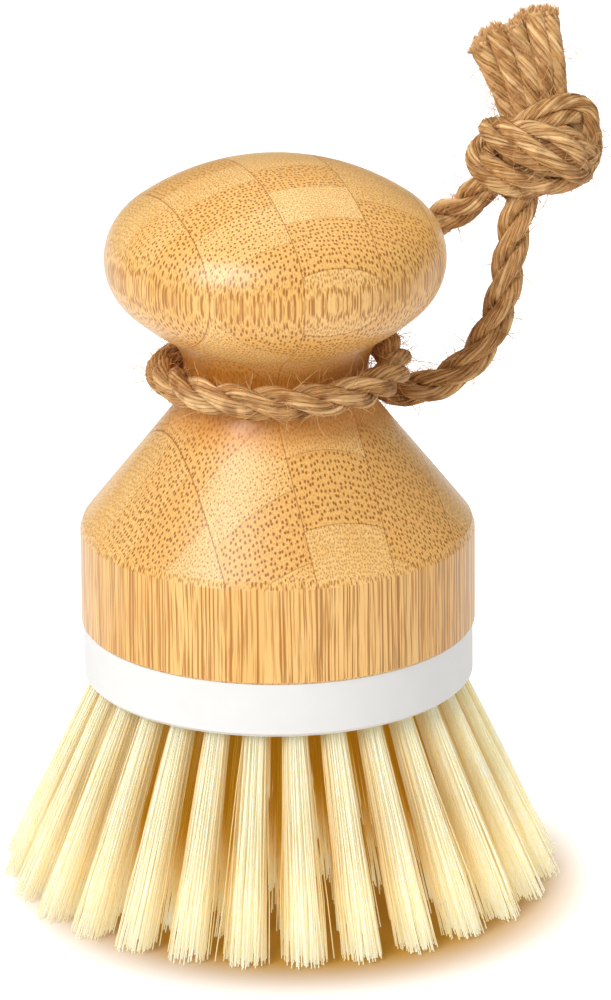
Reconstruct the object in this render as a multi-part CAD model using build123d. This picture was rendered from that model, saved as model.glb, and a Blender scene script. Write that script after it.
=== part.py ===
from build123d import *
import math
import os

# Palm brush for vegetables: a turned bamboo knob, a moulded plate with splayed
# tufts, and a jute rope once round the neck, knotted above the knob's side.
# Millimetres, +Z up. The origin is on the brush's axis, in the plane that the
# tips of the bristles stand on. The front is -Y and the knot hangs out to +X.

# Heights, from the tips up
bristle_height = 29.0
plate_rim_height = 7.6
skirt_height = 14.0

# Handle, turned from one laminated block
skirt_diameter = 54.0
skirt_edge_chamfer = 0.6
shoulder_rise_share = 1.27      # height gained for each unit of radius lost
neck_diameter = 25.2
neck_length = 7.9               # from the cone's end to the knob's underside, before the coves
neck_cove_share = 0.785         # of the neck's length
knob_diameter = 46.4
knob_crown_height = 13.36       # from the widest ring up to the top
knob_under_height = 14.26       # from the widest ring down, as if it went on to the axis
knob_edge_round = 8.6           # radius of the section at the widest ring
handle_foot_chamfer = 0.35
socket_spare = 0.2              # room over the plate's spigot
socket_clearance = 0.1          # on the radius
pilot_spare = 1.0               # hole left beyond the screw's point

# Plate, moulded
plate_inset = 0.3               # of its rim from the skirt's face
plate_edge_chamfer = 0.5
spigot_inset = 7.7              # from the plate's rim
spigot_height = 4.0
spigot_chamfer = 0.5
tuft_field_rim = 1.4            # solid rim left round the tuft rings
ring_depth = 1.0                # thickness of the ring of backing that a tuft row carries
ring_gap = 0.05

# Plate screw, countersunk, driven up into the handle
screw_head_diameter = 6.4
screw_head_height = 2.6
screw_shank_diameter = 3.5
screw_length = 17.0
screw_point_length = 3.0
screw_recess_diameter = 2.4
screw_recess_depth = 1.2
screw_clearance = 0.1           # on the radius
screw_wall = 0.1                # of the plate, between the screw's head and the tuft rings

# Tufts
outer_row_inset = 3.7           # of the outer row from the plate's rim
inner_row_inset = 2.8           # of the inner row from the wall round the screw
outer_tuft_count = 28
second_tuft_count = 20
third_tuft_count = 13
inner_tuft_count = 7
outer_row_lean = 23.5           # degrees from upright, away from the axis
lean_step = 5.8                 # degrees less for each row inwards
first_tuft_angle = 5.1          # degrees from the front towards +X
strand_count = 5                # in each tuft
strand_radius = 0.6
strand_side_count = 3
strand_ring_at_root = 1.0
strand_ring_at_tip = 2.0
trim_depth = 0.5                # what the shears take off the tips
root_across = 3.1               # width of the folded, square root
root_depth = 4.4
root_clearance = 0.05
wire_thickness = 0.4
wire_height = 1.5
wire_above_ring = 1.6

# Rope
rope_diameter = 4.6
rope_side_count = 6
rope_arc_share = 0.45           # of the shorter run at a corner, taken up by its arc
rope_sample_count = 240
knot_radius = 8.2
knot_waist_radius = 6.6         # between two turns of the knot
knot_turn_count = 3
knot_pitch = 4.5
knot_side_count = 12
knot_shift = (0.2, 1.4, 3.5)    # of the knot's centre from the rope's first point
rope_end_lengths = {"left": 11.5, "right": 15.5}
rope_end_splay = {"left": -24.0, "right": -11.0}   # degrees from upright, towards +X
rope_end_offset = 2.45

overrun = 1.0                   # how far a cutter runs past what it cuts

plate_bottom = bristle_height
plate_top = plate_bottom + plate_rim_height
skirt_top = plate_top + skirt_height
skirt_radius = skirt_diameter / 2
neck_radius = neck_diameter / 2
knob_radius = knob_diameter / 2
shoulder_top = skirt_top + (skirt_radius - neck_radius) * shoulder_rise_share
plate_radius = skirt_radius - plate_inset
spigot_radius = plate_radius - spigot_inset
outer_row_radius = plate_radius - outer_row_inset
rings_inner_radius = screw_head_diameter / 2 + screw_clearance + screw_wall
rings_outer_radius = plate_radius - tuft_field_rim
inner_row_radius = rings_inner_radius + inner_row_inset
tufts_in_row = {
    "outer": outer_tuft_count,
    "second": second_tuft_count,
    "third": third_tuft_count,
    "inner": inner_tuft_count,
}
row_names = list(tufts_in_row)
row_spacing = (outer_row_radius - inner_row_radius) / (len(row_names) - 1)


def turned(outline):
    """Solid turned about the brush's axis from an outline in the XZ plane."""
    return revolve(Plane.XZ * make_face(outline), Axis.Z)


def flatter_radius(height):
    """Radius of the arc, centred on the axis, that runs on from the knob's edge round."""
    inset = knob_radius - knob_edge_round
    return (inset ** 2 + height ** 2 - knob_edge_round ** 2) / (height - knob_edge_round) / 2


def meeting_angle(height):
    """Angle over the widest ring at which the edge round turns into the flatter arc."""
    rise = flatter_radius(height) - height
    return math.degrees(math.atan2(rise, knob_radius - knob_edge_round))


def handle_solid():
    """Knob, neck, cone shoulder and skirt, with the socket for the plate."""
    up, down = meeting_angle(knob_crown_height), meeting_angle(knob_under_height)
    crown_radius, under_radius = flatter_radius(knob_crown_height), flatter_radius(knob_under_height)
    # the knob's underside comes down to the neck's upper end
    neck_top = shoulder_top + neck_length
    neck_angle = math.degrees(math.acos(neck_radius / under_radius))
    under_centre = (0, neck_top + under_radius * math.sin(math.radians(neck_angle)))
    knob_level = under_centre[1] - under_radius + knob_under_height
    edge_centre = (knob_radius - knob_edge_round, knob_level)
    crown_centre = (0, knob_level + knob_crown_height - crown_radius)
    knob = [
        CenterArc(under_centre, under_radius, -neck_angle, neck_angle - down),
        CenterArc(edge_centre, knob_edge_round, -down, down + up),
        CenterArc(crown_centre, crown_radius, up, 90 - up),
    ]
    pilot_radius = screw_shank_diameter / 2 + screw_clearance
    pilot_end = plate_bottom + screw_length + pilot_spare
    socket_radius = spigot_radius + socket_clearance
    socket_floor = plate_top + spigot_height + socket_spare
    sides = Polyline(
        (0, knob_level + knob_crown_height),
        (0, pilot_end),
        (pilot_radius, pilot_end),
        (pilot_radius, socket_floor),
        (socket_radius, socket_floor),
        (socket_radius, plate_top),
        (skirt_radius, plate_top),
        (skirt_radius, skirt_top),
        (neck_radius, shoulder_top),
        (neck_radius, neck_top),
    )
    outline = make_face([sides] + knob)

    def corner_at(radius, height):
        return outline.vertices().sort_by_distance((radius, height, 0))[0]

    for height in (shoulder_top, neck_top):
        outline = fillet(corner_at(neck_radius, height), neck_length * neck_cove_share)
    outline = chamfer(corner_at(skirt_radius, skirt_top), skirt_edge_chamfer)
    outline = chamfer(corner_at(skirt_radius, plate_top), handle_foot_chamfer)
    return revolve(Plane.XZ * outline, Axis.Z)


def row_radius(row):
    """Radius of a row of tufts in the plane of the plate's underside."""
    return outer_row_radius - row * row_spacing


def row_lean(row):
    return outer_row_lean - row * lean_step


def ring_limits(row):
    """Inner and outer radius of the ring of backing under a row of tufts."""
    inside = row_radius(row) - row_spacing / 2
    outside = row_radius(row) + row_spacing / 2
    if row == 0:
        outside = rings_outer_radius
    if row == len(row_names) - 1:
        inside = rings_inner_radius
    return inside + ring_gap, outside - ring_gap


def tuft_places(row):
    """Turn about the axis for each tuft of a row, counted from +X."""
    count = tufts_in_row[row_names[row]]
    first = first_tuft_angle - 90
    return [first + tuft * 360 / count for tuft in range(count)]


def slanted(section, start_level, end_level, rise_radius, lean):
    """Prism that leans outwards going down, through rise_radius at the plate's underside."""
    shift = math.tan(math.radians(lean))

    def centre(level):
        return Vector(rise_radius + (plate_bottom - level) * shift, 0, level)

    path = centre(end_level) - centre(start_level)
    return Solid.extrude((Pos(centre(start_level)) * section).face(), path)


def wire_box(row, width, thickness, height):
    """Space of the flat wire that pins the fold, across the tuft's lean."""
    level = plate_bottom + ring_depth + wire_above_ring
    middle = level + height / 2
    shift = math.tan(math.radians(row_lean(row)))
    place = row_radius(row) - (middle - plate_bottom) * shift
    return Pos(place, 0, middle) * Box(thickness, width, height)


def row_solid(row):
    """One ring of backing with its tufts: folded roots above, splayed strands below."""
    inside, outside = ring_limits(row)
    ring_tube = Cylinder(outside, ring_depth, align=(Align.CENTER, Align.CENTER, Align.MIN))
    ring_tube -= Cylinder(inside, ring_depth, align=(Align.CENTER, Align.CENTER, Align.MIN))
    ring_tube = Pos(0, 0, plate_bottom) * ring_tube
    ring_middle = plate_bottom + ring_depth / 2
    lean = row_lean(row)
    root_top = plate_bottom + ring_depth + root_depth
    root = slanted(Rectangle(root_across, root_across), ring_middle, root_top, row_radius(row), lean)
    root -= wire_box(row, root_across + overrun, wire_thickness, wire_height)
    strands = []
    for strand in range(strand_count):
        turn = math.radians(strand * 360 / strand_count)
        across, along = math.cos(turn), math.sin(turn)
        root_place = Vector(
            row_radius(row) + strand_ring_at_root * across, strand_ring_at_root * along, ring_middle
        )
        tip_level = -trim_depth
        reach = (plate_bottom - tip_level) * math.tan(math.radians(lean))
        tip_place = Vector(
            row_radius(row) + reach + strand_ring_at_tip * across, strand_ring_at_tip * along, tip_level
        )
        section = Pos(root_place) * RegularPolygon(strand_radius, strand_side_count)
        strands.append(Solid.extrude(section.face(), tip_place - root_place))
    pieces = []
    for place in tuft_places(row):
        pieces += [Rot(0, 0, place) * piece for piece in [root] + strands]
    tufted = ring_tube.fuse(*pieces)
    tip_reach = skirt_diameter + bristle_height
    shears = Box(tip_reach * 2, tip_reach * 2, overrun, align=(Align.CENTER, Align.CENTER, Align.MAX))
    return tufted - shears


def anchor_solids(row):
    """The flat wires of one row, one across each tuft hole."""
    wire = wire_box(row, root_across + root_clearance, wire_thickness, wire_height)
    return Compound(children=[Rot(0, 0, place) * wire for place in tuft_places(row)])


def plate_solid():
    """Moulded disc with its spigot, the ring recess and the blind tuft holes."""
    upward = (Align.CENTER, Align.CENTER, Align.MIN)
    disc = Pos(0, 0, plate_bottom) * Cylinder(plate_radius, plate_rim_height, align=upward)
    disc = chamfer(disc.edges().group_by(Axis.Z)[0], plate_edge_chamfer)
    spigot = Cylinder(spigot_radius, spigot_height + overrun, align=upward)
    spigot = Pos(0, 0, plate_top - overrun) * spigot
    spigot = chamfer(spigot.edges().group_by(Axis.Z)[-1], spigot_chamfer)
    recess_level = plate_bottom - overrun
    recess = Cylinder(rings_outer_radius, ring_depth + overrun, align=upward)
    recess -= Cylinder(rings_inner_radius, ring_depth + overrun, align=upward)
    plate = disc + spigot - Pos(0, 0, recess_level) * recess
    hole_across = root_across + root_clearance * 2
    holes = []
    for row in range(len(row_names)):
        hole = slanted(
            Rectangle(hole_across, hole_across), plate_bottom + ring_depth - ring_gap,
            plate_bottom + ring_depth + root_depth + root_clearance, row_radius(row), row_lean(row),
        )
        holes += [Rot(0, 0, place) * hole for place in tuft_places(row)]
    plate = plate.cut(*holes)
    return plate.cut(screw_space(screw_clearance))


def screw_space(grow):
    """Countersunk head and shank, grown by a clearance; the head is flush underneath."""
    head_radius = screw_head_diameter / 2 + grow
    shank_radius = screw_shank_diameter / 2 + grow
    tip_radius = shank_radius - screw_shank_diameter / 2 + screw_clearance
    shape = Polyline(
        (0, plate_bottom),
        (head_radius, plate_bottom),
        (shank_radius, plate_bottom + screw_head_height),
        (shank_radius, plate_bottom + screw_length - screw_point_length),
        (tip_radius, plate_bottom + screw_length),
        (0, plate_bottom + screw_length),
        close=True,
    )
    return turned(shape)


def screw_solid():
    """Countersunk wood screw with a square drive."""
    drive = Pos(0, 0, plate_bottom) * Box(
        screw_recess_diameter, screw_recess_diameter, screw_recess_depth * 2
    )
    return screw_space(0) - drive


# The rope's route: out of the knot, down past the knob's right side, along the
# cone behind the neck, once round the neck by the left and the front, and up
# behind the knob into the knot again.
rope_route = [
    (34.8, 12.2, 96.4),
    (33.1, 12.2, 91.2),
    (32.0, 11.4, 84.0),
    (30.6, 10.2, 76.2),
    (26.6, 9.2, 69.4),
    (18.4, 9.8, 65.0),
    (8.2, 16.6, 67.0),
    (-4.4, 17.2, 69.6),
    (-13.8, 9.8, 71.3),
    (-16.3, -2.0, 72.3),
    (-10.6, -12.8, 72.7),
    (1.2, -16.5, 72.5),
    (12.3, -11.8, 72.8),
    (17.2, -0.8, 73.0),
    (13.6, 8.2, 74.4),
    (12.0, 15.6, 74.4),
    (13.4, 21.4, 78.9),
    (18.8, 23.0, 84.7),
    (24.2, 18.5, 88.5),
    (27.7, 15.9, 91.7),
    (29.5, 15.0, 95.0),
]
knot_centre = Vector(*rope_route[0]) + Vector(*knot_shift)


def corner_radii(points):
    """Largest arc for each corner of the route that its two runs allow."""
    radii = []
    for before, corner, after in zip(points, points[1:], points[2:]):
        arriving, leaving = corner - before, after - corner
        half_turn = math.radians(arriving.get_angle(leaving) / 2)
        radii.append(rope_arc_share * min(arriving.length, leaving.length) / math.tan(half_turn))
    return radii


def rope_path():
    points = [Vector(*point) for point in rope_route]
    return FilletPolyline(*points, radius=corner_radii(points))


def rope_section(place, direction):
    plane = Plane(origin=place, z_dir=direction)
    return plane * RegularPolygon(rope_diameter / 2, rope_side_count, major_radius=False)


def rope_loop_solid():
    path = rope_path()
    return sweep(rope_section(path @ 0, path % 0), path=path)


def knot_solid():
    """The knot as a closed barrel of the turns that show, about an upright axis."""
    half_height = knot_pitch * knot_turn_count / 2
    sections = []
    for step in range(knot_turn_count * 2 + 1):
        radius = knot_waist_radius if step % 2 == 0 else knot_radius
        section = RegularPolygon(radius, knot_side_count)
        sections.append(Pos(0, 0, step * knot_pitch / 2 - half_height) * section)
    return Pos(knot_centre) * loft(sections, ruled=True)


def rope_end_solids():
    """The two cut ends that stand out of the knot, side by side."""
    ends = []
    knot_top = knot_pitch * knot_turn_count / 2
    for side, name in ((-1, "left"), (1, "right")):
        splay = math.radians(rope_end_splay[name])
        direction = Vector(math.sin(splay), 0, math.cos(splay))
        place = knot_centre + Vector(side * rope_end_offset, 0, knot_top)
        section = Plane.XY * RegularPolygon(rope_diameter / 2, rope_side_count, major_radius=False)
        section = Pos(place) * section
        ends.append(Solid.extrude(section.face(), direction * rope_end_lengths[name]))
    return Compound(children=ends)


def report_rope(loop):
    """Prints the rope's radii, its volume against its length, and its least gap to itself."""
    points = [Vector(*point) for point in rope_route]
    print("rope radii", [round(radius, 1) for radius in corner_radii(points)])
    path = rope_path()
    area = rope_section(path @ 0, path % 0).area
    print("rope length", round(path.length, 1), "volume ratio", round(loop.volume / area / path.length, 4))
    places = [path @ (sample / rope_sample_count) for sample in range(rope_sample_count + 1)]
    # a stretch nearer along the rope than a half turn round its own bend isn't a gap
    apart = int(rope_sample_count * rope_diameter * math.pi / 2 / path.length) + 1
    gaps = [
        (a - b).length
        for index, a in enumerate(places)
        for b in places[index + apart:]
    ]
    print("rope's least gap to itself", round(min(gaps) - rope_diameter, 2))


def build():
    os.makedirs("parts", exist_ok=True)
    loop = rope_loop_solid()
    report_rope(loop)
    nodes = {
        "handle": handle_solid(),
        "brush_plate": plate_solid(),
        "plate_screw": screw_solid(),
        "rope_loop": loop,
        "rope_knot": knot_solid(),
        "rope_ends": rope_end_solids(),
    }
    for row, name in enumerate(row_names):
        nodes[name + "_tufts"] = row_solid(row)
        nodes[name + "_anchors"] = anchor_solids(row)
    for name, solid in nodes.items():
        export_step(solid, "parts/" + name + ".step")


build()
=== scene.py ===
import bmesh
import bpy
import math
import random
from mathutils import Matrix, Vector, noise


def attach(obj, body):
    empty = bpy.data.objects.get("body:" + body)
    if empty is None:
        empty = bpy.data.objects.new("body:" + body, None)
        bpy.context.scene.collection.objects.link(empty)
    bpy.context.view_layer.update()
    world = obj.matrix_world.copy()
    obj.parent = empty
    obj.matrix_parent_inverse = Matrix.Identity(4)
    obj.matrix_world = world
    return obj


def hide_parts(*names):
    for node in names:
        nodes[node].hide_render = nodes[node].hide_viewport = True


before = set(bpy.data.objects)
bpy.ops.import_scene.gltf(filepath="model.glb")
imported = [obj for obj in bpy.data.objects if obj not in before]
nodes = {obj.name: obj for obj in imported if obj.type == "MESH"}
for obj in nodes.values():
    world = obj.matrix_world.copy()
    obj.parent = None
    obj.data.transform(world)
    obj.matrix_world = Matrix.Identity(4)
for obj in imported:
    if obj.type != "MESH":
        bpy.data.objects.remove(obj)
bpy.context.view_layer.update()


# Camera: a long lens a metre off, in front of the brush and looking a little
# down at it. The lens and the shift are those that the outline of the handle fits.
photo_width, photo_height = 611, 1000
focal_length_px = 7332.7
aim_px = (277.0, 459.4)
aim = Vector((0, 0, 0.0594))
view_distance = 1.0
view_elevation = math.radians(18.9)
view_roll = math.radians(-0.5)
sensor_mm = 36.0

camera_data = bpy.data.cameras.new("camera")
camera_data.sensor_width = sensor_mm
camera_data.lens = focal_length_px / photo_height * sensor_mm
camera_data.shift_x = (photo_width / 2 - aim_px[0]) / photo_height
camera_data.shift_y = (aim_px[1] - photo_height / 2) / photo_height
camera = bpy.data.objects.new("camera", camera_data)
towards_camera = Vector((0, -math.cos(view_elevation), math.sin(view_elevation)))
camera.location = aim + towards_camera * view_distance
tilt = Matrix.Rotation(math.pi / 2 - view_elevation, 3, "X")
camera.rotation_euler = (tilt @ Matrix.Rotation(view_roll, 3, "Z")).to_euler()
bpy.context.scene.collection.objects.link(camera)
bpy.context.scene.camera = camera
bpy.context.scene.view_settings.view_transform = "Standard"


# Floor: a plain white sheet. The camera sees it a little brighter than it is lit, so
# that it reads as white paper. Round the bristle tips it has a painted amber shadow,
# as of light that comes through the bristles; only the camera sees it.
floor_half = 3.0
floor_white = (0.86, 0.85, 0.84, 1)
# painted shadow round the bristle tips: its colour, its colour in the lift, its middle and where it
# fades
painted_shadow_colour = (0.43, 0.23, 0.042, 1)
painted_shadow_lift = (0.10, 0.06, 0.01, 1)
floor_lift = 0.45
painted_shadow_middle = (0.0036, -0.0072, 0)
painted_shadow_inside, painted_shadow_outside = 0.027, 0.0455


def new_material(name):
    """A node material, its node tree and its surface shader."""
    material = bpy.data.materials.new(name)
    material.use_nodes = True
    return material, material.node_tree, material.node_tree.nodes["Principled BSDF"]


def put(tree, socket, value):
    """Sets a socket to a value, or links another node's output to it."""
    if isinstance(value, bpy.types.NodeSocket):
        tree.links.new(value, socket)
    else:
        socket.default_value = value


def add_node(tree, kind, inputs=None, **settings):
    """A shader node with its settings, and its inputs by name or number."""
    node = tree.nodes.new(kind)
    for name, value in settings.items():
        setattr(node, name, value)
    for name, value in (inputs or {}).items():
        put(tree, node.inputs[name], value)
    return node


def mixed(tree, share, below, above):
    """The colour between two colours, by a share."""
    node = add_node(tree, "ShaderNodeMix", {0: share, 6: below, 7: above}, data_type="RGBA")
    return node.outputs[2]


def math_of(tree, operation, first, second=0.0, third=0.0):
    """The result of one sum on up to three values."""
    inputs = {0: first, 1: second, 2: third}
    return add_node(tree, "ShaderNodeMath", inputs, operation=operation).outputs[0]


floor_mesh = bpy.data.meshes.new("floor")
bm = bmesh.new()
bmesh.ops.create_grid(bm, x_segments=1, y_segments=1, size=floor_half)
bm.to_mesh(floor_mesh)
bm.free()
floor = bpy.data.objects.new("floor", floor_mesh)
bpy.context.scene.collection.objects.link(floor)
paper_material, tree, paper = new_material("white_paper")
here = add_node(tree, "ShaderNodeTexCoord").outputs["Object"]
from_brush = add_node(tree, "ShaderNodeVectorMath", {0: here, 1: painted_shadow_middle}, operation="DISTANCE")
# painted shadow: full near the bristle tips, fading out to none further from the brush
painted_shadow_share = add_node(tree, "ShaderNodeMapRange", {
    "Value": from_brush.outputs["Value"], "From Min": painted_shadow_inside, "From Max": painted_shadow_outside,
    "To Min": 1.0, "To Max": 0.0,
}, interpolation_type="SMOOTHSTEP").outputs[0]
rays = add_node(tree, "ShaderNodeLightPath")
# the painted shadow tints the colour the camera sees and lowers the lift there
seen_painted_shadow = math_of(tree, "MULTIPLY", painted_shadow_share, rays.outputs["Is Camera Ray"])
put(tree, paper.inputs["Base Color"], mixed(tree, seen_painted_shadow, floor_white, painted_shadow_colour))
put(tree, paper.inputs["Emission Color"], mixed(tree, painted_shadow_share, floor_white, painted_shadow_lift))
seen_lift = math_of(tree, "MULTIPLY", rays.outputs["Is Camera Ray"], floor_lift)
put(tree, paper.inputs["Emission Strength"], seen_lift)
paper.inputs["Roughness"].default_value = 1.0
paper.inputs["Specular IOR Level"].default_value = 0.0
floor_mesh.materials.append(paper_material)


# Light: a large soft box at the upper left in front, a weak one at the right, one
# overhead that only fills, and a pale room all round.
room_strength = 0.40
room_seen_strength = 0.12


def add_softbox(name, place, size, power, mirrored=True):
    """A square area lamp that faces the brush; unless mirrored, gloss doesn't show it."""
    lamp = bpy.data.lights.new(name, "AREA")
    lamp.shape = "SQUARE"
    lamp.size = size
    lamp.energy = power
    box = bpy.data.objects.new(name, lamp)
    box.location = place
    box.rotation_euler = (Vector(place) - aim).to_track_quat("Z", "Y").to_euler()
    box.visible_glossy = mirrored
    bpy.context.scene.collection.objects.link(box)


add_softbox("key_softbox", place=(-0.85, -1.0, 1.05), size=1.0, power=23.5)
add_softbox("fill_softbox", place=(1.1, -0.7, 0.5), size=0.7, power=2.5, mirrored=False)
add_softbox("top_softbox", place=(0.15, 0.65, 1.4), size=0.9, power=12.0, mirrored=False)
world = bpy.data.worlds.new("room")
world.use_nodes = True
tree = world.node_tree
rays = add_node(tree, "ShaderNodeLightPath")
strength = add_node(tree, "ShaderNodeMapRange", {
    "Value": rays.outputs["Is Glossy Ray"], "To Min": room_strength, "To Max": room_seen_strength,
})
seen_strength = math_of(tree, "MAXIMUM", strength.outputs[0], rays.outputs["Is Camera Ray"])
put(tree, tree.nodes["Background"].inputs["Strength"], seen_strength)
put(tree, tree.nodes["Background"].inputs["Color"], (1, 1, 1, 1))
bpy.context.scene.world = world


# Handle: one block glued up from strips of bamboo, turned on a lathe and lacquered.
# The strips stand upright, so their fibre bundles show as dots on the slopes and as
# streaks on the upright sides. The glued strips are laid like bricks seen from above.
block_turn = math.radians(20.4)
column_width = 0.0114
column_edge = 0.0043
strip_width = 0.0066
strip_start = 0.0018
strips_along = 86               # strips and columns from the block's corner to the axis,
columns_across = -20            # which sets where pale and deep strips fall
strip_stagger_share = 0.42      # of a strip's width, from one column to the next
joint_half_width = 0.00005
seam_width = 0.0001
seam_share = 0.5
bamboo_pale = (0.91, 0.585, 0.225, 1)
bamboo_deep = (0.82, 0.445, 0.118, 1)
bamboo_streak = (0.40, 0.155, 0.012, 1)
bamboo_dot = (0.31, 0.105, 0.013, 1)
# painted shade in the neck: its colour and where it lies
painted_neck_shade = (0.60, 0.20, 0.012, 1)
neck_shade_inside, neck_shade_outside = 0.0128, 0.0162
neck_shade_height, neck_shade_end = 0.080, 0.085
bundle_spacing = 0.00062
fine_bundle_spacing = 0.0004
bundle_looseness = 0.62
bundle_edge_share = 0.07        # of the spacing, over which a bundle's edge fades
wander = 0.0007
large_dot_share = 0.95
# how strong the painted shade in the neck is
neck_shade_strength = 0.75


def ranged(tree, value, low, high, to_low=0.0, to_high=1.0):
    """A value carried from one range to another, held at the ends."""
    node = add_node(tree, "ShaderNodeMapRange", {
        "Value": value, "From Min": low, "From Max": high, "To Min": to_low, "To Max": to_high,
    })
    return node.outputs[0]


def noise_of(tree, place, scale, detail=2.0, roughness=0.5):
    """A noise value on a place."""
    node = add_node(tree, "ShaderNodeTexNoise", {
        "Vector": place, "Scale": scale, "Detail": detail, "Roughness": roughness,
    })
    return node.outputs[0]


def mapped(tree, place, location=(0, 0, 0), rotation=(0, 0, 0), scale=(1, 1, 1)):
    """A place that is scaled, turned and moved."""
    node = add_node(tree, "ShaderNodeMapping", {
        "Vector": place, "Location": location, "Rotation": rotation, "Scale": scale,
    })
    return node.outputs[0]


def from_axis(tree, place):
    """How far a place is from the brush's axis."""
    level = mapped(tree, place, scale=(1, 1, 0))
    return add_node(tree, "ShaderNodeVectorMath", {0: level}, operation="LENGTH").outputs["Value"]


bamboo, tree, lacquer = new_material("bamboo")
here = add_node(tree, "ShaderNodeTexCoord").outputs["Object"]
block = mapped(tree, here, rotation=(0, 0, -block_turn))
brick_place = mapped(tree, block, rotation=(0, 0, math.pi / 2), location=(
    strip_start + strips_along * strip_width, column_edge + columns_across * column_width, 0,
))


def laid_strips(joint):
    """The strips, laid like bricks with joints of the given half width."""
    return add_node(tree, "ShaderNodeTexBrick", {
        "Vector": brick_place, "Color1": (0, 0, 0, 1), "Color2": (1, 1, 1, 1), "Scale": 1.0,
        "Mortar Size": joint, "Brick Width": strip_width, "Row Height": column_width,
    }, offset=strip_stagger_share, offset_frequency=2)


strip_colour = laid_strips(0.0).outputs["Color"]
tone = add_node(tree, "ShaderNodeSeparateColor", {"Color": strip_colour}).outputs[0]
joints = laid_strips(joint_half_width).outputs["Fac"]
place = add_node(tree, "ShaderNodeSeparateXYZ", {0: block})
across, height = place.outputs[0], place.outputs[2]
facing = add_node(tree, "ShaderNodeNewGeometry").outputs["Normal"]
normal = add_node(tree, "ShaderNodeSeparateXYZ", {0: facing}).outputs[2]
from_seam = math_of(tree, "PINGPONG", math_of(tree, "ADD", across, column_edge), column_width / 2)
seam = ranged(tree, from_seam, seam_width / 2, seam_width, seam_share, 0.0)

# the bundles run up the block and wander a little on their way
drift = add_node(tree, "ShaderNodeTexNoise", {
    "Vector": mapped(tree, block, scale=(1, 1, 0.45)), "Scale": 130.0, "Detail": 1.0,
}).outputs["Color"]
wandering = add_node(tree, "ShaderNodeVectorMath", {
    0: drift, 1: (wander, wander, 0), 2: block,
}, operation="MULTIPLY_ADD").outputs[0]


def bundle_dots(spacing, size):
    """Bundles cut across: 1 inside a bundle, whose radius is the given share of the spacing."""
    away = add_node(tree, "ShaderNodeTexVoronoi", {
        "Vector": wandering, "Scale": 1 / spacing, "Randomness": bundle_looseness,
    }, voronoi_dimensions="2D").outputs["Distance"]
    past_edge = math_of(tree, "SUBTRACT", away, size)
    return ranged(tree, past_edge, -bundle_edge_share, bundle_edge_share, 1.0, 0.0)


coarse = math_of(tree, "MULTIPLY_ADD", tone, 0.7, noise_of(tree, block, 95.0, 1.0))
large_dots = bundle_dots(bundle_spacing, ranged(tree, coarse, 0.5, 1.0, 0.08, 0.25))
small_dots = bundle_dots(fine_bundle_spacing, ranged(tree, coarse, 0.6, 1.3, 0.27, 0.10))
grain = noise_of(tree, mapped(tree, wandering, scale=(1, 1, 0.02)), 4800.0, 2.0, 0.6)
patches = noise_of(tree, mapped(tree, block, scale=(1, 1, 0.5)), 210.0, 2.0)
upright = ranged(tree, math_of(tree, "ABSOLUTE", normal), 0.1, 0.5, 1.0, 0.0)
bundle = mixed(tree, upright, bamboo_dot, bamboo_streak)
ground = mixed(tree, tone, bamboo_pale, bamboo_deep)
ground = mixed(tree, ranged(tree, patches, 0.4, 0.75, 0.0, 0.45), ground, bamboo_deep)
ground = mixed(tree, ranged(tree, upright, 0.0, 1.0, 0.0, 0.4), ground, bamboo_deep)
grain_strength = ranged(tree, upright, 0.0, 1.0, 0.36, 0.75)
grain_share = math_of(tree, "MULTIPLY", ranged(tree, grain, 0.48, 0.63), grain_strength)
ground = mixed(tree, grain_share, ground, bamboo_streak)
small_share = ranged(tree, upright, 0.0, 1.0, 0.5, 1.0)
ground = mixed(tree, math_of(tree, "MULTIPLY", small_dots, small_share), ground, bundle)
ground = mixed(tree, math_of(tree, "MULTIPLY", large_dots, large_dot_share), ground, bundle)
ground = mixed(tree, seam, ground, bamboo_dot)
slopes = math_of(tree, "SUBTRACT", seam_share, math_of(tree, "MULTIPLY", upright, seam_share))
ground = mixed(tree, math_of(tree, "MULTIPLY", joints, slopes), ground, bamboo_dot)

# painted shade: darker and more orange in the neck under the knob, where the knob and the rope shade it
neck_shade = ranged(tree, from_axis(tree, here), neck_shade_inside, neck_shade_outside, neck_shade_strength, 0.0)
below_knob = ranged(tree, height, neck_shade_height, neck_shade_end, 1.0, 0.0)
ground = mixed(tree, math_of(tree, "MULTIPLY", neck_shade, below_knob), ground, painted_neck_shade)
put(tree, lacquer.inputs["Base Color"], ground)
lacquer.inputs["Roughness"].default_value = 0.45
lacquer.inputs["Specular IOR Level"].default_value = 0.35
lacquer.inputs["Coat Weight"].default_value = 0.7
lacquer.inputs["Coat Roughness"].default_value = 0.3
relief = add_node(tree, "ShaderNodeBump", {"Height": grain, "Strength": 0.1, "Distance": 0.0002})
put(tree, lacquer.inputs["Normal"], relief.outputs[0])
nodes["handle"].data.materials[0] = bamboo


# Plate: a disc moulded in white plastic, a little cloudy and softly glossy. Its spigot is
# pushed up into the handle and screwed there, and the tufts are driven into its holes.
plate_white = (0.745, 0.74, 0.73, 1)
plate_cloud = (0.705, 0.695, 0.68, 1)

moulded, tree, shell = new_material("white_plastic")
here = add_node(tree, "ShaderNodeTexCoord").outputs["Object"]
cloudy = noise_of(tree, here, 220.0, 3.0)
cloud_share = ranged(tree, cloudy, 0.3, 0.7, 0.0, 0.5)
put(tree, shell.inputs["Base Color"], mixed(tree, cloud_share, plate_white, plate_cloud))
shell.inputs["Roughness"].default_value = 0.38
skin = add_node(tree, "ShaderNodeBump", {
    "Height": noise_of(tree, here, 2600.0), "Strength": 0.08, "Distance": 0.0001,
})
put(tree, shell.inputs["Normal"], skin.outputs[0])
nodes["brush_plate"].data.materials[0] = moulded


# Screw and tuft wires: bright drawn steel. The screw holds the plate up in the handle,
# and a flat wire pins the fold of each tuft in its hole, so neither shows from outside.
steel_dull = (0.50, 0.50, 0.49, 1)
steel_bright = (0.72, 0.71, 0.69, 1)

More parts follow.
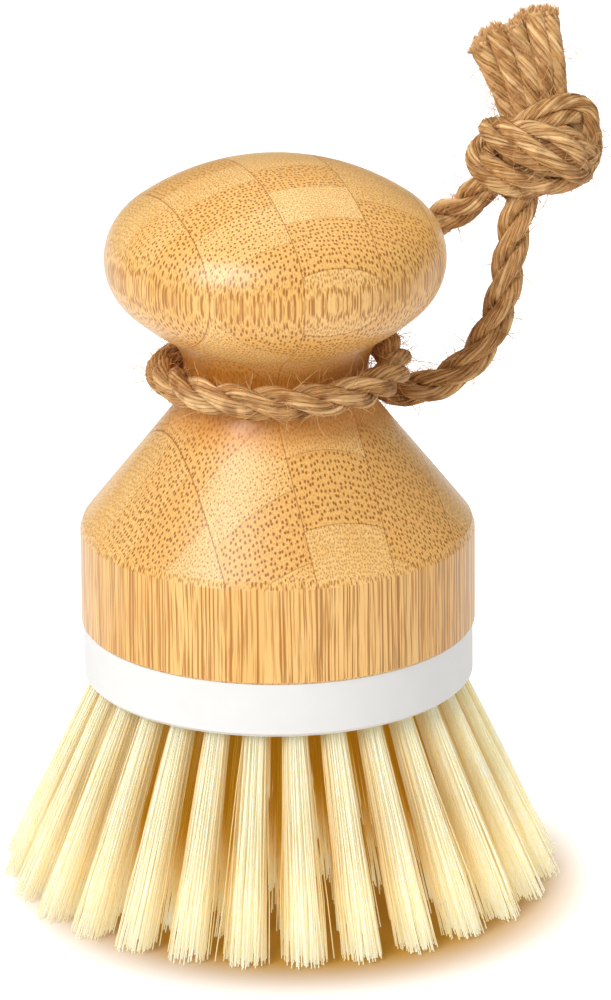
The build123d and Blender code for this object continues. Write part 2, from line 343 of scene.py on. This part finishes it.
steel, tree, metal = new_material("bright_steel")
here = add_node(tree, "ShaderNodeTexCoord").outputs["Object"]
drawn = noise_of(tree, mapped(tree, here, scale=(1, 1, 0.1)), 6000.0)
put(tree, metal.inputs["Base Color"], mixed(tree, drawn, steel_dull, steel_bright))
metal.inputs["Metallic"].default_value = 1.0
metal.inputs["Roughness"].default_value = 0.3
for name in ("plate_screw", "outer_anchors", "second_anchors", "third_anchors", "inner_anchors"):
    nodes[name].data.materials[0] = steel


# Rope: three-strand jute, laid right-handed, once round the neck from the knot and
# back to it. The strands follow one smooth line along the route of the CAD tube, and
# each strand is twisted up from threads of coarse fibre.
rope_route = [
    (0.0348, 0.0122, 0.0964),
    (0.0331, 0.0122, 0.0912),
    (0.0320, 0.0114, 0.0840),
    (0.0306, 0.0102, 0.0762),
    (0.0266, 0.0092, 0.0694),
    (0.0184, 0.0098, 0.0650),
    (0.0082, 0.0166, 0.0670),
    (-0.0044, 0.0172, 0.0696),
    (-0.0138, 0.0098, 0.0713),
    (-0.0163, -0.0020, 0.0723),
    (-0.0106, -0.0128, 0.0727),
    (0.0012, -0.0165, 0.0725),
    (0.0123, -0.0118, 0.0728),
    (0.0172, -0.0008, 0.0730),
    (0.0136, 0.0082, 0.0744),
    (0.0120, 0.0156, 0.0744),
    (0.0134, 0.0214, 0.0789),
    (0.0188, 0.0230, 0.0847),
    (0.0242, 0.0185, 0.0885),
    (0.0277, 0.0159, 0.0917),
    (0.0295, 0.0150, 0.0950),
]
rope_diameter = 0.0046
strands_in_rope = 3
lay_length = 0.0165
strand_share = 0.49             # of the rope's radius, for a strand
strand_spread = 1.06            # the strands lie this much further apart than touching
core_share = 0.84               # of the strand's radius, for its core
thread_share = 0.27             # of the strand's radius, for a thread
thread_sink_share = 0.8         # of the thread's radius, that lies inside the strand's
thread_turn_share = 0.07        # of a turn, between the threads of one strand and the next
threads_in_strand = 11
thread_lay = 0.019
rope_step = 0.0006
core_sides = 8
thread_sides = 6
tube_shift = 0.37               # of the pattern, from one tube to the next
rope_roughness = 0.00009
fibre_lumps = 900
fibre_rate = 160.0              # of the pattern, along a metre of thread
jute_gap = (0.085, 0.023, 0.004, 1)
jute_tan = (0.82, 0.435, 0.150, 1)
jute_pale = (1.0, 0.68, 0.33, 1)
jute_stain = (0.25, 0.08, 0.014, 1)


def smooth_line(points, steps=10):
    """Points along the smooth curve that has the given points as its control points."""
    curve = bpy.data.curves.new("line", "CURVE")
    curve.dimensions = "3D"
    spline = curve.splines.new("NURBS")
    spline.points.add(len(points) - 1)
    for point, spot in zip(spline.points, points):
        point.co = (*spot, 1)
    spline.order_u = 3
    spline.use_endpoint_u = True
    spline.resolution_u = steps
    carrier = bpy.data.objects.new("line", curve)
    mesh = bpy.data.meshes.new_from_object(carrier)
    line = [vertex.co.copy() for vertex in mesh.vertices]
    bpy.data.objects.remove(carrier)
    bpy.data.meshes.remove(mesh)
    bpy.data.curves.remove(curve)
    return line


def walked(line, step):
    """The line again, with a point at each even step along it."""
    spots = [line[0].copy()]
    to_next = step
    for start, end in zip(line, line[1:]):
        run = end - start
        length = run.length
        gone = 0.0
        while length - gone >= to_next:
            gone += to_next
            spots.append(start + run * (gone / length))
            to_next = step
        to_next -= length - gone
    return spots


def framed(line):
    """Each point of a line with its direction and a side direction that never spins."""
    side = None
    for index, spot in enumerate(line):
        ahead = line[min(index + 1, len(line) - 1)] - line[max(index - 1, 0)]
        ahead.normalize()
        if side is None:
            side = ahead.orthogonal()
        side = (side - ahead * side.dot(ahead)).normalized()
        yield spot, ahead, side


def laid(line, reach, lay, count, phase=0.0):
    """The lines of strands or threads that are laid round a line."""
    paths = [[] for each in range(count)]
    step = (line[1] - line[0]).length
    for index, (spot, ahead, side) in enumerate(framed(line)):
        for each, path in enumerate(paths):
            turn = (each / count + phase + index * step / lay) * 2 * math.pi
            path.append(spot + (side * math.cos(turn) + ahead.cross(side) * math.sin(turn)) * reach)
    return paths


def tubes(name, groups):
    """One mesh of tubes. A group has its paths, radius, side count and the radius's end share."""
    bm = bmesh.new()
    layer = bm.loops.layers.uv.new("UVMap")
    for paths, radius, sides, end_share in groups:
        turns = [side * 2 * math.pi / sides for side in range(sides)]
        corner_shares = [(math.cos(turn), math.sin(turn)) for turn in turns]
        for number, path in enumerate(paths):
            along = number * tube_shift
            before = None
            for index, (spot, ahead, side) in enumerate(framed(path)):
                share = index / (len(path) - 1)
                reach = radius * (1 + (end_share - 1) * share)
                over = ahead.cross(side)
                ring = [bm.verts.new(spot + (side * c + over * s) * reach) for c, s in corner_shares]
                if before is None:
                    bm.faces.new(ring[::-1])
                else:
                    next_along = along + (spot - last_spot).length
                    for k in range(sides):
                        corners = (before[k], before[(k + 1) % sides], ring[(k + 1) % sides], ring[k])
                        face = bm.faces.new(corners)
                        face.smooth = True
                        places = ((along, k), (along, k + 1), (next_along, k + 1), (next_along, k))
                        for loop, (u, v) in zip(face.loops, places):
                            loop[layer].uv = (u, v / sides)
                    along = next_along
                before, last_spot = ring, spot
            bm.faces.new(before)
    mesh = bpy.data.meshes.new(name)
    bm.to_mesh(mesh)
    bm.free()
    return mesh


def twisted(strands, radius, lay=thread_lay):
    """The tubes of some strands: a core each, and the threads that are laid round it."""
    threads = []
    reach = radius * (1 - thread_share * thread_sink_share)
    for number, strand in enumerate(strands):
        threads += laid(strand, reach, -lay, threads_in_strand, number * thread_turn_share)
    cores = (strands, radius * core_share, core_sides, 1.0)
    return [cores, (threads, radius * thread_share, thread_sides, 1.0)]


def roughened(mesh, amount, scale):
    """Pushes a surface in and out a little, as loose fibre lies."""
    bm = bmesh.new()
    bm.from_mesh(mesh)
    bm.normal_update()
    for vertex in bm.verts:
        vertex.co += vertex.normal * (noise.noise(vertex.co * scale) * amount)
    bm.to_mesh(mesh)
    bm.free()
    return mesh


def add_piece(name, mesh, material, body="rope"):
    """Links a piece, gives it its finish and sets it on its body."""
    mesh.materials.clear()
    mesh.materials.append(material)
    piece = bpy.data.objects.new(name, mesh)
    bpy.context.scene.collection.objects.link(piece)
    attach(piece, body)
    return piece


jute, tree, fibre = new_material("jute")
place = add_node(tree, "ShaderNodeTexCoord")
on_tube = add_node(tree, "ShaderNodeSeparateXYZ", {0: place.outputs["UV"]})
around = math_of(tree, "MULTIPLY", on_tube.outputs[1], 2 * math.pi)
wrapped = add_node(tree, "ShaderNodeCombineXYZ", {
    0: math_of(tree, "COSINE", around), 1: math_of(tree, "SINE", around),
    2: math_of(tree, "MULTIPLY", on_tube.outputs[0], fibre_rate),
}).outputs[0]
fine = noise_of(tree, wrapped, 2.4, 4.0, 0.7)
threadwise = noise_of(tree, mapped(tree, wrapped, scale=(0.2, 0.2, 0.35)), 1.0, 1.0)
patchy = noise_of(tree, place.outputs["Object"], 420.0, 2.0)
colour = mixed(tree, ranged(tree, fine, 0.34, 0.62), jute_gap, jute_tan)
colour = mixed(tree, ranged(tree, threadwise, 0.45, 0.68, 0.0, 0.85), colour, jute_pale)
colour = mixed(tree, ranged(tree, patchy, 0.5, 0.72, 0.0, 0.7), colour, jute_stain)
put(tree, fibre.inputs["Base Color"], colour)
fibre.inputs["Roughness"].default_value = 0.45
fibre.inputs["Specular IOR Level"].default_value = 0.3
relief = add_node(tree, "ShaderNodeBump", {"Height": fine, "Strength": 0.9, "Distance": 0.0002})
put(tree, fibre.inputs["Normal"], relief.outputs[0])

rope_radius = rope_diameter / 2
strand_radius = rope_radius * strand_share
strand_reach = (rope_radius - strand_radius) * strand_spread
rope_line = walked(smooth_line(rope_route), rope_step)
rope_strands = laid(rope_line, strand_reach, lay_length, strands_in_rope)
rope_mesh = tubes("rope", twisted(rope_strands, strand_radius))
rope = add_piece("rope", roughened(rope_mesh, rope_roughness, fibre_lumps), jute)
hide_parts("rope_loop")


# Knot: an overhand knot tied in both legs of the rope at once and pulled tight. The
# bands are places on it as it is seen from the front: right, up and towards the eye.
knot_middle = Vector((0.0354, 0.0135, 0.0996))
knot_lay = 0.036
knot_thread_lay = 0.0115
knot_pull = 0.98                # the strands' radius and reach in the knot, against the rope's
knot_roughness = 0.00012
knot_bands = {
    "front": [
        (-2.4, 1.4, -4.0), (-4.4, 2.2, -1.6), (-5.7, 2.2, 1.8), (-4.2, 1.0, 4.8), (-0.8, -0.8, 5.9),
        (2.2, -2.3, 5.6), (4.8, -3.2, 4.2), (6.8, -3.0, 1.6), (7.0, -1.4, -1.6), (4.4, 0.2, -4.6),
    ],
    "upper": [
        (-3.2, 1.0, 1.6), (-1.6, 1.9, 3.8), (0.8, 3.4, 4.7), (3.6, 5.1, 3.8), (6.5, 5.2, 2.2),
        (7.2, 2.6, 1.4), (7.4, 0.4, 1.0), (6.6, -2.2, 1.0), (4.2, -4.3, 1.2), (1.2, -5.2, 2.2),
        (-2.2, -5.0, 3.0), (-5.0, -4.0, 2.8), (-6.9, -2.8, 1.4), (-7.2, -1.0, -0.6),
        (-5.6, 0.4, -3.0), (-1.6, 1.4, -5.0),
    ],
    "middle": [
        (-3.4, 1.0, 2.6), (-0.8, 1.5, 4.7), (2.2, 1.1, 5.5), (4.8, 0.0, 4.8), (6.4, -1.6, 2.8),
        (6.0, -3.2, -0.4), (3.0, -4.0, -2.8), (-1.0, -3.6, -4.0), (-4.6, -2.4, -3.8), (-6.6, 0.2, -2.4),
    ],
    "back": [
        (-4.8, -3.4, 0.6), (-5.4, -1.2, -2.6), (-3.4, 0.6, -5.0), (0.6, 1.6, -5.8), (4.2, 2.6, -4.8),
        (6.4, 3.4, -2.2), (6.2, 4.2, 0.4),
    ],
    "top": [(-4.8, 1.4, -1.6), (-3.2, 2.4, -3.0), (-0.6, 2.9, -3.6), (2.6, 3.2, -3.2), (5.2, 3.0, -1.8)],
    "left_leg": [(-5.6, -5.8, -1.6), (-4.4, -4.2, -1.0), (-2.4, -1.0, 0.0)],
    "right_leg": [(-2.0, -6.2, -0.2), (-1.4, -4.4, 0.2), (-0.6, -1.0, 0.4)],
}
band_turn_shares = {
    "front": 0.0, "upper": 0.25, "middle": 0.1, "back": 0.3, "top": 0.6,
    "left_leg": 0.2, "right_leg": 0.5,
}
knot_core = [(-3.4, 0.4, -0.4), (-1.0, 0.2, 0.2), (2.0, -0.2, 0.2), (4.4, 0.4, -0.2)]
knot_core_radius = 0.0042
knot_core_sides = 16


def seen_from_front(place):
    """A place in the part's frame from millimetres right, up and towards the eye."""
    right, up, near = (distance / 1000 for distance in place)
    return knot_middle + Matrix.Rotation(-view_elevation, 3, "X") @ Vector((right, -near, up))


def knot_line(places):
    """The smooth line through places on the knot, walked in even steps."""
    return walked(smooth_line([seen_from_front(place) for place in places]), rope_step)


knot_strands = []
for band, places in knot_bands.items():
    band_line = knot_line(places)
    turn_share = band_turn_shares[band]
    knot_strands += laid(band_line, strand_reach * knot_pull, knot_lay, strands_in_rope, turn_share)
knot_groups = twisted(knot_strands, strand_radius * knot_pull, knot_thread_lay)
knot_groups.append(([knot_line(knot_core)], knot_core_radius, knot_core_sides, 1.0))
knot_mesh = roughened(tubes("knot", knot_groups), knot_roughness, fibre_lumps)
knot = add_piece("knot", knot_mesh, jute)
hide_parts("rope_knot")


# Rope ends: the two cut ends above the knot. Their strands lie side by side in a fan,
# still twisted, and fray where the knife went through.
end_strands = [
    [(-3.0, 3.4, 0.2), (-3.9, 6.8, 0.4), (-5.9, 11.0, 0.5), (-7.7, 14.3, 0.4)],
    [(-1.4, 3.4, 1.0), (-2.1, 7.0, 1.2), (-3.6, 11.8, 1.2), (-5.3, 16.1, 1.0)],
    [(0.1, 3.6, 1.0), (-0.2, 7.2, 1.3), (-1.2, 12.4, 1.3), (-2.8, 16.8, 1.1)],
    [(1.6, 3.8, 0.8), (1.6, 7.6, 1.0), (1.0, 13.0, 1.0), (0.0, 18.6, 0.9)],
    [(3.2, 4.0, 0.0), (3.3, 7.8, 0.2), (2.8, 13.2, 0.2), (2.0, 18.5, 0.3)],
    [(-2.4, 3.4, -1.4), (-2.9, 7.0, -1.4), (-4.5, 11.2, -1.2), (-6.5, 15.3, -1.0)],
    [(0.6, 3.6, -1.6), (0.8, 7.4, -1.4), (0.2, 12.4, -1.2), (-1.2, 17.8, -1.0)],
    [(2.2, 4.0, -1.6), (2.6, 7.8, -1.4), (2.1, 13.0, -1.2), (1.0, 18.7, -0.8)],
]
end_strand_radius = 0.00138
end_thread_lay = 0.0115
end_roughness = 0.0002
end_lumps = 700

end_lines = [knot_line(places) for places in end_strands]
ends_mesh = tubes("rope_tails", twisted(end_lines, end_strand_radius, end_thread_lay))
tails = add_piece("rope_tails", roughened(ends_mesh, end_roughness, end_lumps), jute)
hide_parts("rope_ends")


# Loose fibre: jute sheds curled hairs all along the rope, most at the knot, and the
# cut ends open into a fringe of short fibre.
hairs_on_rope = 900
hairs_on_knot = 700
hairs_on_ends = 220
hair_seed = 7
hair_radius = 0.000055
hair_point_share = 0.4          # of its radius, at its tip
loose_sides = 4
hair_lengths = (0.0018, 0.0058)
hair_steps = 8
hair_lean = 1.2                 # the most along the strand, for hair_out straight out
hair_out = 0.8
hair_curl = 0.42
hair_root_share = 0.8           # of the strand's radius, where a hair starts
fibres_at_end = 260
fringe_radius = 0.00007
fringe_point_share = 0.6
fringe_dome = 0.0011
fringe_uneven = 0.0008
fringe_splay_share = 0.3
fringe_wander = 0.00018
fringe_bow = 0.00012
hair_brown = (0.42, 0.19, 0.055, 1)
hair_blond = (0.88, 0.55, 0.24, 1)

hair_material, tree, hair_shader = new_material("loose_jute")
here = add_node(tree, "ShaderNodeTexCoord").outputs["Object"]
hair_colour = mixed(tree, noise_of(tree, here, 900.0), hair_brown, hair_blond)
put(tree, hair_shader.inputs["Base Color"], hair_colour)
hair_shader.inputs["Roughness"].default_value = 0.45


def hair_paths(paths, count, chance, reach=strand_radius):
    """Curled hairs that leave the strands at random places."""
    hairs = []
    for hair in range(count):
        path = paths[chance.randrange(len(paths))]
        index = chance.randrange(1, len(path) - 2)
        ahead = (path[index + 1] - path[index]).normalized()
        spin = Matrix.Rotation(chance.uniform(0, 2 * math.pi), 3, ahead)
        out = spin @ ahead.orthogonal().normalized()
        heading = (out * hair_out + ahead * chance.uniform(-hair_lean, hair_lean)).normalized()
        curl = Vector([chance.gauss(0, 1) for axis in range(3)]).normalized()
        bend = Matrix.Rotation(chance.gauss(0, hair_curl), 3, curl)
        stride = chance.uniform(*hair_lengths) / hair_steps
        spots = [path[index] + out * reach * hair_root_share]
        for step in range(hair_steps):
            spots.append(spots[-1] + heading * stride)
            heading = bend @ heading
        hairs.append(spots)
    return hairs


def fringe_paths(paths, count, chance):
    """Fibres that run on past the cut end of each strand, splayed a little."""
    fibres = []
    for path in paths:
        ahead = (path[-1] - path[-3]).normalized()
        side = ahead.orthogonal().normalized()
        for fibre in range(count):
            out = Matrix.Rotation(chance.uniform(0, 2 * math.pi), 3, ahead) @ side
            reach = end_strand_radius * math.sqrt(chance.random())
            start = path[-2] + out * reach
            dome = fringe_dome * (1 - (reach / end_strand_radius) ** 2)
            past_cut = dome + chance.uniform(0.0, fringe_uneven)
            splay = (reach - end_strand_radius / 2) * fringe_splay_share
            tip = start + ahead * past_cut + out * splay
            tip += Vector([chance.gauss(0, 1) for axis in range(3)]) * fringe_wander
            fibres.append([start, start.lerp(tip, 0.55) + out * fringe_bow, tip])
    return fibres


chance = random.Random(hair_seed)
hairs = hair_paths(rope_strands, hairs_on_rope, chance)
hairs += hair_paths(knot_strands, hairs_on_knot, chance)
hairs += hair_paths(end_lines, hairs_on_ends, chance, end_strand_radius)
fringe = fringe_paths(end_lines, fibres_at_end, chance)
hair_mesh = tubes("rope_hairs", [
    (hairs, hair_radius, loose_sides, hair_point_share),
    (fringe, fringe_radius, loose_sides, fringe_point_share),
])
rope_hairs = add_piece("rope_hairs", hair_mesh, hair_material)


# Bristles: four rings of tufts, each a bundle of stiff cream filament that is folded
# into its hole, fans out below and is cut flat where the brush stands. Light soaks
# through the filament. The amber where the tufts shade each other is painted shade,
# and the filament has a painted glow, strongest at the tips.
bristle_height = 0.029
outer_row_radius = 0.023
row_spacing = 0.0056
row_tufts = {"outer": 28, "second": 20, "third": 13, "inner": 7}
filaments_in_tuft = {"outer": 118, "second": 80, "third": 60, "inner": 56}
outer_lean = 23.5
lean_step = 5.8
first_angle = 5.1 - 90          # from +X; the front is at -90
bristle_seed = 40
filament_sides = 4
filament_radius = 0.000122
tuft_radius = 0.00165
tip_radius = 0.0029
filament_end_share = 0.85       # of its radius, at the trim
root_depth = 0.0008             # of the filaments, up in the plate
trim_depth = 0.0007             # between the longest and the shortest filament
golden_turn = 2.39996           # from one filament of a tuft to the next
turn_slack = 0.2
filament_bow = 0.00025
tip_scatter = 0.00022
stray_chance = 0.05
stray_scatter = 5.0             # times as far as the others, sideways
# painted glow: how brightly the filament lights itself
painted_glow_strength = 0.31
glow_through = 0.45
filament_cream = (1.0, 0.985, 0.90, 1)
filament_straw = (1.0, 0.945, 0.69, 1)
# painted shade: the amber of the tufts' shaded insides and flanks, and where on a flank it begins and is
# full
painted_tuft_shade = (0.82, 0.55, 0.04, 1)
side_begins, side_full = 0.03, 0.085

filament_material, tree, filament = new_material("cream_filament")
here = add_node(tree, "ShaderNodeTexCoord").outputs["Object"]
by_filament = noise_of(tree, mapped(tree, here, scale=(1, 1, 0.03)), 2600.0, 1.0)
shade = mixed(tree, ranged(tree, by_filament, 0.35, 0.65), filament_straw, filament_cream)
across, along, height = add_node(tree, "ShaderNodeSeparateXYZ", {0: here}).outputs

# painted shade: amber inside the outer ring of tufts, more so higher up
lean_slope = math.tan(math.radians(outer_lean))
outer_reach = math_of(tree, "MULTIPLY_ADD", height, lean_slope, from_axis(tree, here))
depth = math_of(tree, "SUBTRACT", outer_row_radius + bristle_height * lean_slope, outer_reach)
above = ranged(tree, height, 0.001, 0.013)
painted_inner_shade = math_of(tree, "MULTIPLY", ranged(tree, depth, -0.0004, 0.0050), above)

# painted shade: amber on the flanks of the outer tufts, where the next one shades them
around = math_of(tree, "ARCTAN2", along, across)
around = math_of(tree, "SUBTRACT", around, math.radians(first_angle))
from_tuft = math_of(tree, "PINGPONG", around, math.pi / row_tufts["outer"])
above = ranged(tree, height, 0.0, 0.012, 0.55, 1.0)
flank = ranged(tree, from_tuft, side_begins, side_full, 0.0, 0.62)
painted_flank_shade = math_of(tree, "MULTIPLY", flank, above)
shade = mixed(tree, math_of(tree, "MAXIMUM", painted_inner_shade, painted_flank_shade), shade, painted_tuft_shade)
put(tree, filament.inputs["Base Color"], shade)
filament.inputs["Roughness"].default_value = 0.4
# painted glow: the filament lights itself in its own colour, fully at the tips and half as much from 16
# mm up
above_tips = ranged(tree, height, 0.0, 0.016, 0.0, 0.5)
put(tree, filament.inputs["Emission Color"], mixed(tree, above_tips, shade, (0, 0, 0, 1)))
filament.inputs["Emission Strength"].default_value = painted_glow_strength
glow = add_node(tree, "ShaderNodeBsdfTranslucent", {"Color": shade})
both = add_node(tree, "ShaderNodeMixShader", {
    0: glow_through, 1: filament.outputs[0], 2: glow.outputs[0],
})
put(tree, tree.nodes["Material Output"].inputs["Surface"], both.outputs[0])


def tuft_paths(angle, radius, lean, count, chance):
    """The filaments of one tuft, from its hole in the plate down to the trim."""
    turn = Matrix.Rotation(math.radians(angle), 3, "Z")
    reach = bristle_height * math.tan(math.radians(lean))
    paths = []
    for index in range(count):
        share = math.sqrt((index + 0.5) / count)
        spin = index * golden_turn + chance.uniform(-turn_slack, turn_slack)
        out, side = share * math.cos(spin), share * math.sin(spin)
        root = Vector((radius + out * tuft_radius, side * tuft_radius, bristle_height + root_depth))
        trim = chance.uniform(0.0, trim_depth)
        tip = Vector((radius + reach + out * tip_radius, side * tip_radius, trim))
        loose = stray_scatter if chance.random() < stray_chance else 1.0
        bow = Vector((chance.uniform(-1, 1), chance.uniform(-1, 1), 0)) * filament_bow
        tip += Vector((chance.gauss(0, 1) * tip_scatter, chance.gauss(0, 1) * tip_scatter * loose, 0))
        upper = root.lerp(tip, 0.25) - bow * 0.4
        lower = root.lerp(tip, 0.75) + bow
        paths.append([turn @ spot for spot in (root, upper, root.lerp(tip, 0.5), lower, tip)])
    return paths


for row, (name, tufts) in enumerate(row_tufts.items()):
    chance = random.Random(bristle_seed + row)
    paths = []
    for tuft in range(tufts):
        paths += tuft_paths(
            first_angle + tuft * 360 / tufts, outer_row_radius - row * row_spacing,
            outer_lean - row * lean_step, filaments_in_tuft[name], chance,
        )
    filaments = (paths, filament_radius, filament_sides, filament_end_share)
    mesh = tubes(name + "_bristles", [filaments])
    bristles = add_piece(name + "_bristles", mesh, filament_material, "brush")
    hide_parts(name + "_tufts")


# Tuft backing: the slice of the white plate that the tufts are set in, moulded in one
# with it and level with its rim. In the solids it belongs to the tufts that are replaced.
backing_inner = 0.00345
backing_outer = 0.02525
backing_thickness = 0.0009
backing_bottom = bristle_height + 0.00005
backing_top = backing_bottom + backing_thickness
backing_sides = 96

bm = bmesh.new()
outline = [
    (backing_inner, backing_bottom),
    (backing_outer, backing_bottom),
    (backing_outer, backing_top),
    (backing_inner, backing_top),
]
corners = [bm.verts.new((radius, 0, level)) for radius, level in outline]
edges = [bm.edges.new((corners[index - 1], corners[index])) for index in range(len(corners))]
bmesh.ops.spin(
    bm, geom=corners + edges, cent=(0, 0, 0), axis=(0, 0, 1), angle=2 * math.pi,
    steps=backing_sides, use_merge=True,
)
bmesh.ops.recalc_face_normals(bm, faces=bm.faces)
backing_mesh = bpy.data.meshes.new("tuft_backing")
bm.to_mesh(backing_mesh)
bm.free()
add_piece("tuft_backing", backing_mesh, moulded, "brush")
